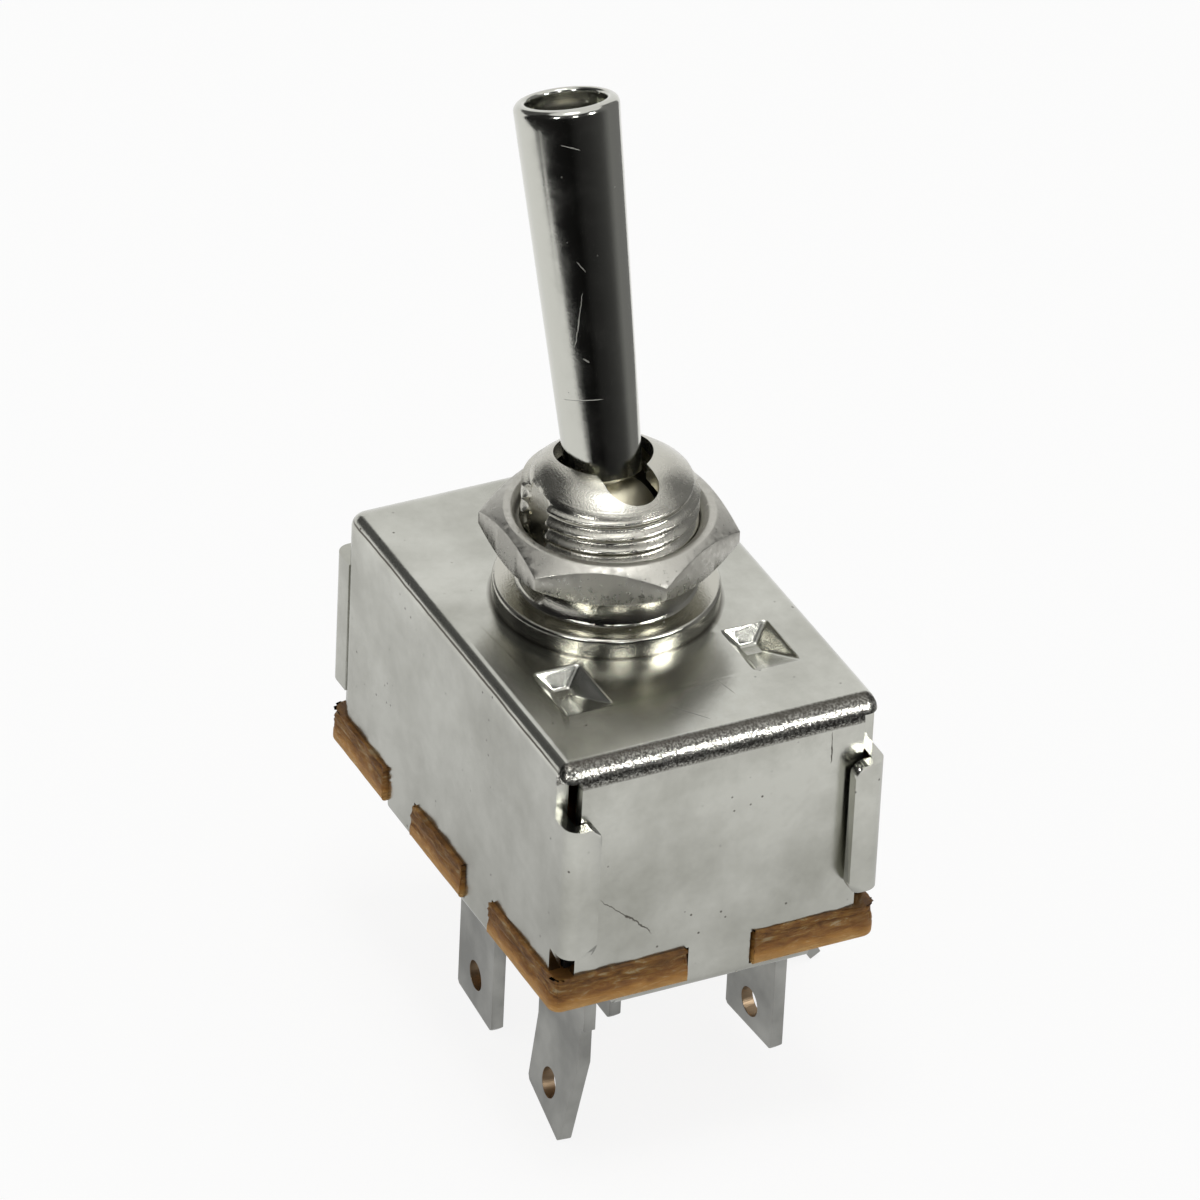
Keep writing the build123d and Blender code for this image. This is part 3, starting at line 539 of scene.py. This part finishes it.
def makeTinned():
    # dull tin over brass strip: soft grey with rolling marks
    material, tree, shader, coords = newMaterial("tinnedStrip", "#b0b0ad", 1.0, 0.42)
    stretch = addNode(tree, "Mapping", {"Vector": coords, "Scale": (1.0, 1.0, 0.12)})
    rolled = addNode(tree, "TexNoise", {"Vector": stretch.outputs[0], "Scale": patternScale(0.38462),
                                        "Detail": 3.0})
    cloud = addNode(tree, "TexNoise", {"Vector": coords, "Scale": patternScale(4.1667), "Detail": 4.0})
    shade = addNode(tree, "ValToRGB", {"Fac": cloud.outputs["Fac"]},
                    ramp=[(0.35, "#969692"), (0.65, "#b8b8b3")])
    tree.links.new(shade.outputs[0], shader.inputs["Base Color"])
    bump = addNode(tree, "Bump", {"Height": rolled.outputs["Fac"], "Strength": 0.2, "Distance": 0.03 * mm})
    tree.links.new(bump.outputs[0], shader.inputs["Normal"])
    return material


def makePlain(name, colour, metallic, roughness, grainSize, depth):
    # small inner parts: their own colour, a little uneven, with a fine grain
    material, tree, shader, coords = newMaterial(name, colour, metallic, roughness)
    cloud = addNode(tree, "TexNoise", {"Vector": coords, "Scale": patternScale(2.5), "Detail": 3.0})
    shade = addNode(tree, "HueSaturation", {"Color": linear(colour)})
    level = addNode(tree, "MapRange", {"Value": cloud.outputs["Fac"], "To Min": 0.75, "To Max": 1.2})
    tree.links.new(level.outputs[0], shade.inputs["Value"])
    tree.links.new(shade.outputs[0], shader.inputs["Base Color"])
    grain = addNode(tree, "TexNoise", {"Vector": coords, "Scale": patternScale(grainSize), "Detail": 2.0})
    bump = addNode(tree, "Bump", {"Height": grain.outputs["Fac"], "Strength": 0.3, "Distance": depth * mm})
    tree.links.new(bump.outputs[0], shader.inputs["Normal"])
    return material


satinNickel = makeSatinNickel()
leverChrome = makeBrightPlate("leverChrome", "#c3c3bb", 0.1, 0.9, 0.01, rings=0.7, lineMarks=leverScratches)
bushingNickel = makeBrightPlate("turnedNickel", "#bfbdb3", 0.17, 0.15, 0.04, rings=0.5)
nutNickel = makeBrightPlate("millCutNickel", "#b9b7af", 0.3, 0.12, 0.03, wiping=0.4)
phenolic = makePhenolic()
tinned = makeTinned()
brass = makePlain("turnedBrass", "#c9a45c", 1.0, 0.28, 0.15, 0.01)
copper = makePlain("tarnishedCopper", "#8a5a3c", 1.0, 0.4, 0.15, 0.02)
cutBrass = makePlain("piercedBrass", "#96826a", 1.0, 0.45, 0.15, 0.02)
springSteel = makePlain("springSteel", "#8f8f8c", 1.0, 0.3, 0.1, 0.01)
silver = makePlain("contactSilver", "#cfcdc6", 1.0, 0.35, 0.12, 0.01)
blackMoulding = makePlain("blackMoulding", "#1b1917", 0.0, 0.5, 0.2, 0.02)
print("materials made")


# Bushing: turned, with a real thread, a keyway and the lever's keyhole opening

bushing = {"threadRadius": 6.0, "threadTop": 7.9, "threadFoot": 2.2, "pitch": 1.05, "threadDepth": 0.5,
           "crestHeight": 6.86, "crestAngle": -27.4, "crestShape": 0.8, "fadeTop": 0.25, "fadeFoot": 0.4,
           "rowStep": 0.065, "domeTop": 9.45, "domeTopRadius": 3.0, "domeBulge": 0.2, "domeEdge": 5.4,
           "domeEdgeHeight": 8.2, "edgeDrop": 0.08, "edgeSlope": 1.15, "flangeRadius": 7.72,
           "flangeHeight": 1.45, "flangeRound": 0.3, "neckGroove": 0.16, "neckTop": 0.2, "neckFoot": 0.25,
           "neckFillet": ((0.06, 0.12), (0.2, 0.02)), "boreRadius": 4.3, "wallRadius": 5.2, "ceiling": 8.3,
           "mouthRadius": 5.0, "coneTop": 1.75, "spigotRadius": 5.7, "rimRadius": 6.5, "rimTop": -2.3,
           "rimFoot": -2.8, "pocketRadius": 3.35, "pocketX": -1.35, "pocketZ": 9.8, "pocketDepth": 4,
           "slotWidth": 3.7, "slotEnd": 4.8, "slotRun": 3.5, "slotZ": 9.6, "slotDepth": 6,
           "keyWidth": 3.0, "keyDepth": 0.75, "keyFoot": 0.6, "keyFlank": 0.3}


def bushingProfile():
    # (radius, height) from the dome's middle, down the outside and back up the bore
    b = bushing
    points = [(0, b["domeTop"])]
    for i in range(9):
        share = i / 8
        radius = b["domeTopRadius"] + (b["domeEdge"] - b["domeTopRadius"]) * share
        height = b["domeTop"] + (b["domeEdgeHeight"] - b["domeTop"]) * share
        points.append((radius, height + b["domeBulge"] * math.sin(share * math.pi)))
    height = b["domeEdgeHeight"] - b["edgeDrop"]
    while height > b["threadFoot"]:
        sloped = b["domeEdge"] + (b["domeEdgeHeight"] - height) * b["edgeSlope"]
        points.append((min(b["threadRadius"], sloped), height))
        height -= b["rowStep"]
    neckTop = b["threadFoot"] - b["neckTop"]
    for share in (0.0, 0.2, 0.4, 0.6, 0.8, 1.0):
        points.append((b["threadRadius"] - b["neckGroove"] * math.sin(share * math.pi),
                       neckTop - share * (neckTop - b["neckFoot"])))
    points += [(b["threadRadius"] + out, up) for out, up in b["neckFillet"]]
    points += corner((b["flangeRadius"] - b["flangeRound"], -b["flangeRound"]), b["flangeRound"], 90, 0, 4)
    points += [(b["flangeRadius"], -b["flangeHeight"]), (b["spigotRadius"], -b["flangeHeight"]),
               (b["spigotRadius"], b["rimTop"]), (b["rimRadius"], b["rimTop"]),
               (b["rimRadius"], b["rimFoot"]), (b["mouthRadius"], b["rimFoot"]),
               (b["mouthRadius"], -b["flangeHeight"]), (b["boreRadius"], b["coneTop"]),
               (b["boreRadius"], b["ceiling"]), (0, b["ceiling"])]
    return points


def carve(piece, tools):
    # cuts the tools' shapes out of a piece and throws the tools away
    for tool in tools:
        cut = piece.modifiers.new("cut", "BOOLEAN")
        cut.operation = "DIFFERENCE"
        cut.solver = "EXACT"
        cut.object = tool
    bpy.context.view_layer.update()
    carved = bpy.data.meshes.new_from_object(piece.evaluated_get(bpy.context.evaluated_depsgraph_get()))
    piece.modifiers.clear()
    piece.data = carved
    for tool in tools:
        bpy.data.objects.remove(tool)
    piece.data.polygons.foreach_set("use_smooth", [True] * len(piece.data.polygons))


def makeBushing():
    b = bushing
    shape = lathe(bushingProfile(), 180)
    for vert in shape.verts:
        z, radius = vert.co.z / mm, math.hypot(vert.co.x, vert.co.y) / mm
        if radius < b["wallRadius"] or not b["threadFoot"] < z < b["threadTop"] + b["fadeTop"]:
            continue
        turns = (math.atan2(vert.co.y, vert.co.x) - math.radians(b["crestAngle"])) / math.tau
        wave = 0.5 - 0.5 * math.cos(math.tau * ((z - b["crestHeight"]) / b["pitch"] - turns))
        fade = min(1.0, (z - b["threadFoot"]) / b["fadeFoot"],
                   max(0.0, (b["threadTop"] + b["fadeTop"] - z) / b["fadeTop"]))
        new = radius - b["threadDepth"] * wave ** b["crestShape"] * fade
        vert.co.x *= new / radius
        vert.co.y *= new / radius
    # the keyway is pressed into the same grid, so that its floor and flanks stay smooth
    for vert in shape.verts:
        across, floor = abs(vert.co.x) / mm, b["threadRadius"] - b["keyDepth"]
        if vert.co.y < 0 and across < b["keyWidth"] / 2 + b["keyFlank"] and vert.co.z > b["keyFoot"] * mm:
            rise = max(0.0, across - b["keyWidth"] / 2) / b["keyFlank"]
            vert.co.y = max(vert.co.y, -(floor + b["keyDepth"] * rise) * mm)
    piece = placeMesh("threadedBushing", shape, [bushingNickel], "case")

    # the opening: a round pocket for the lever at rest, and a slot along its way
    pocket = bmesh.new()
    bmesh.ops.create_cone(pocket, cap_ends=True, segments=96, radius1=b["pocketRadius"] * mm,
                          radius2=b["pocketRadius"] * mm, depth=b["pocketDepth"] * mm)
    bmesh.ops.translate(pocket, verts=pocket.verts, vec=(b["pocketX"] * mm, 0, b["pocketZ"] * mm))
    slot = bmesh.new()
    half = b["slotWidth"] / 2
    bmesh.ops.create_cone(slot, cap_ends=True, segments=64, radius1=half * mm, radius2=half * mm,
                          depth=b["slotDepth"] * mm)
    far = [v for v in slot.verts if v.co.x < 0]
    bmesh.ops.translate(slot, verts=far, vec=(-b["slotRun"] * mm, 0, 0))
    bmesh.ops.translate(slot, verts=slot.verts, vec=((b["slotEnd"] - half) * mm, 0, b["slotZ"] * mm))
    carve(piece, [newObject("pocketTool", pocket), newObject("slotTool", slot)])
    piece.data.set_sharp_from_angle(angle=math.radians(34))
    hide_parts("bushing")


makeBushing()
print("bushing made")


# Lever: tapered sleeve with a rolled rim and a recess, and the stem's peened end in it
# shade limits: distances from the end's middle between which a dark grey ring, painted shade in the lever's
# recess, sets in and gives out

lever = {"pivotZ": 4.45, "tilt": 18.3, "start": 3.4, "end": 29.3, "neckPlace": 5.2, "neckRadius": 2.66,
         "topRadius": 3.58, "footEdge": 0.15, "rim": 0.55, "innerRim": 0.28, "recessRadius": 2.72,
         "recessDepth": 1.6, "chamberRadius": 2.25, "guideRadius": 1.55, "guideEnd": 7.8,
         "bare": (0.5, 1.1), "shadeEnd": (3.5, 5.0)}


def makeSleeve():
    v = lever
    taper = (v["topRadius"] - v["neckRadius"]) / (v["end"] - v["neckPlace"])
    shoulder = v["topRadius"] - taper * v["rim"]
    foot = v["neckRadius"] - taper * (v["neckPlace"] - v["start"])
    points = [(v["guideRadius"], v["start"]), (foot - v["footEdge"], v["start"]),
              (foot, v["start"] + v["footEdge"])]
    points += [(v["neckRadius"] + taper * (place - v["neckPlace"]), place) for place in range(6, 29, 2)]
    points += corner((shoulder - v["rim"], v["end"] - v["rim"]), v["rim"], 0, 90)
    points += corner((v["recessRadius"] + v["innerRim"], v["end"] - v["innerRim"]), v["innerRim"], 90, 180)
    recess = v["end"] - v["recessDepth"]
    points += [(v["recessRadius"], recess), (v["chamberRadius"], recess), (v["chamberRadius"], v["guideEnd"]),
               (v["guideRadius"], v["guideEnd"]), (v["guideRadius"], v["start"])]
    shape = lathe(points, 160)
    lean = Matrix.Translation((0, 0, v["pivotZ"] * mm)) @ Matrix.Rotation(math.radians(-v["tilt"]), 4, "Y")
    bmesh.ops.transform(shape, matrix=lean, verts=shape.verts)
    piece = placeMesh("taperedSleeve", shape, [leverChrome], "sleeve")
    piece.data.set_sharp_from_angle(angle=math.radians(40))
    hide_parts("lever_sleeve")


def makeStemBrass():
    # pale brass, with a dark grey ring round the middle of its peened end: painted shade in the lever's
    # recess
    v = lever
    material = makePlain("stemBrassShaded", "#e2dcc4", 1.0, 0.5, 0.15, 0.03)
    tree = material.node_tree
    shader = next(node for node in tree.nodes if node.type == "BSDF_PRINCIPLED")
    coords = addNode(tree, "TexCoord").outputs["Object"]
    tilt, reach = math.radians(v["tilt"]), v["end"] - v["recessDepth"]
    middle = Vector((-math.sin(tilt) * reach, 0, v["pivotZ"] + math.cos(tilt) * reach)) * mm
    place = addNode(tree, "VectorMath", {0: coords, 1: middle}, operation="DISTANCE")
    near = addNode(tree, "MapRange", {"Value": place.outputs["Value"], "From Min": v["bare"][0] * mm,
                                      "From Max": v["bare"][1] * mm})
    far = addNode(tree, "MapRange", {"Value": place.outputs["Value"], "From Min": v["shadeEnd"][0] * mm,
                                     "From Max": v["shadeEnd"][1] * mm, "To Min": 1.0, "To Max": 0.0})
    # painted shade: the ring in which the dark grey is mixed in
    ring = addNode(tree, "Math", {0: near.outputs[0], 1: far.outputs[0]}, operation="MULTIPLY")
    plainColour = shader.inputs["Base Color"].links[0].from_socket
    recessShade = addNode(tree, "Mix", {"Factor": ring.outputs[0], 6: plainColour, 7: linear("#6d6b65")},
                     data_type="RGBA")
    tree.links.new(recessShade.outputs[2], shader.inputs["Base Color"])
    return material


makeSleeve()
stemBrass = makeStemBrass()
print("lever made")


# Can: the fold at its front end is wider than the others

def widenFold(shape):
    # the sheet's corner is pulled in from the tight arc to the wide one, all through its thickness
    end, top, tight, wide = can["end"], can["top"], can["tightFold"], can["wideFold"]
    inset = wide - tight
    for i in range(1, can["foldRows"] + 1):
        away = tight + inset * i / can["foldRows"]
        cutRow(shape, Vector((end - away, 0, 0)) * mm, (1, 0, 0))
        cutRow(shape, Vector((0, 0, top - away)) * mm, (0, 0, 1))
    for vert in shape.verts:
        across = vert.co.x / mm - end + wide
        up = vert.co.z / mm - top + wide
        if across <= 1e-5 or up <= 1e-5:
            continue
        reach = math.hypot(across, up)
        x, z = across / reach, up / reach
        outline = wide / max(x, z)
        if min(x, z) * outline > inset:
            middle = inset * (x + z)
            outline = middle + math.sqrt(middle * middle - 2 * inset * inset + tight ** 2)
        pull = wide / outline
        vert.co.x = (end - wide + across * pull) * mm
        vert.co.z = (top - wide + up * pull) * mm


# CAD solids whose shape is right, but for the can's wider front fold: the nut's and the stem's edges are
# broken, the can's sheet shades flat between its folds, and each gets its finish

finished = {"hex_nut": (nutNickel, "case", "satin_plate", 0.07),
            "case_cover": (satinNickel, "case", "satin_plate", 0.0),
            "lever_stem": (stemBrass, "lever", "brass", 0.08)}
for name, (material, body, slotName, width) in finished.items():
    shape = copyNode(name)
    if name == "case_cover":
        widenFold(shape)
    piece = placeMesh(name + "Finished", shape, [material], body)
    if width:
        breakEdges(piece, width)
    else:
        flattenShading(piece)
    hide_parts(name)
print("metal parts finished")


# Blades: tinned faces, bare pierced bores; the middles of their holes and how far a bore reaches from there

blades = {"near_common_terminal": (-1.0, -7.6, -31.4), "near_load_terminal": (11.6, -7.99, -31.8),
          "middle_common_terminal": (0.3, 0.5, -31.4), "middle_rest_terminal": (-10.6, 0.5, -31.4),
          "far_common_terminal": (-1.0, 13.9, -29.86), "far_load_terminal": (8.9, 8.4, -31.4)}
boreReach, bladeEdge = 1.3, 0.05
for name, centre in blades.items():
    shape = copyNode(name)
    for face in shape.faces:
        if all((vert.co / mm - Vector(centre)).length < boreReach for vert in face.verts):
            face.material_index = 1
    piece = placeMesh(name + "Finished", shape, [tinned, cutBrass], "case")
    breakEdges(piece, bladeEdge)
    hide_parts(name)
print("terminals finished")


# Base: blanked laminate, its rim sheared below and torn above, ply by ply
# step and layer: the grid's width and height; start and run: shares of the thickness over which it tears
# wander, chip, ply and fine: length, height and depth of the tear's patterns; most: its greatest depth

torn = {"step": 0.42, "layer": 0.17, "rim": 0.5, "start": 0.3, "run": 0.28, "wander": (3, 3, 0.12),
        "chip": (2.6, 0.9, 0.2), "ply": (1.6, 0.3, 0.26), "fine": (0.5, 0.25, 0.07),
        "sheared": 0.03, "shearedChip": 0.05, "tornBack": 0.13, "most": 0.42}


def tearPattern(place, pattern, shiftX=0, shiftY=0):
    # -1 to 1 at a place on the rim; the shifts keep the patterns apart
    length, height, _ = torn[pattern]
    return noise.noise(Vector((place.x / length + shiftX, place.y / length + shiftY, place.z / height)))


def makeBase():
    shape = copyNode("base_plate")
    low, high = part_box("base_plate")
    for axis, step in ((0, torn["step"]), (1, torn["step"]), (2, torn["layer"])):
        count = round((high[axis] - low[axis]) / mm / step)
        for i in range(1, count):
            place, normal = Vector(), Vector()
            place[axis] = low[axis] + (high[axis] - low[axis]) * i / count
            normal[axis] = 1
            cutRow(shape, place, normal)
    shape.normal_update()
    tear = shape.verts.layers.float.new("tear")
    wanderDeep, chipDeep, plyDeep, fineDeep = [torn[key][2] for key in ("wander", "chip", "ply", "fine")]
    for vert in shape.verts:
        outward = Vector((vert.normal.x, vert.normal.y, 0))
        rim = min(vert.co.x - low.x, high.x - vert.co.x, vert.co.y - low.y, high.y - vert.co.y) / mm
        if rim > torn["rim"] or outward.length < 0.3:
            continue
        place = vert.co / mm
        height = (vert.co.z - low.z) / (high.z - low.z) - wanderDeep * tearPattern(place, "wander")
        share = min(1.0, max(0.0, (height - torn["start"]) / torn["run"]))
        chip = tearPattern(place, "chip")
        ply = tearPattern(place, "ply", shiftX=9)
        fine = tearPattern(place, "fine", shiftY=5)
        back = torn["sheared"] + torn["shearedChip"] * abs(chip)
        back += share * (torn["tornBack"] + chipDeep * chip + plyDeep * ply + fineDeep * fine)
        back = min(torn["most"], max(0.0, back))
        vert[tear] = back / torn["most"]
        vert.co -= outward.normalized() * back * mm
    piece = placeMesh("laminateBase", shape, [phenolic], "case")
    piece.data.set_sharp_from_angle(angle=math.radians(60))
    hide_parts("base_plate")


makeBase()
print("base made")


# Inner parts: the CAD solids as they are, with their finish put on

plain = {"stem_washer": leverChrome, "sleeve_spring": springSteel, "plunger": brass,
         "plunger_spring": springSteel, "pivot_pin": springSteel, "contact_block": blackMoulding,
         "rocker": blackMoulding}
for name in nodes:
    if name.endswith("bar"):
        plain[name] = copper
    if name.endswith(("moving_contact", "fixed_contact")):
        plain[name] = silver
for name, material in plain.items():
    nodes[name].data.materials.clear()
    nodes[name].data.materials.append(material)
print("inner parts finished")
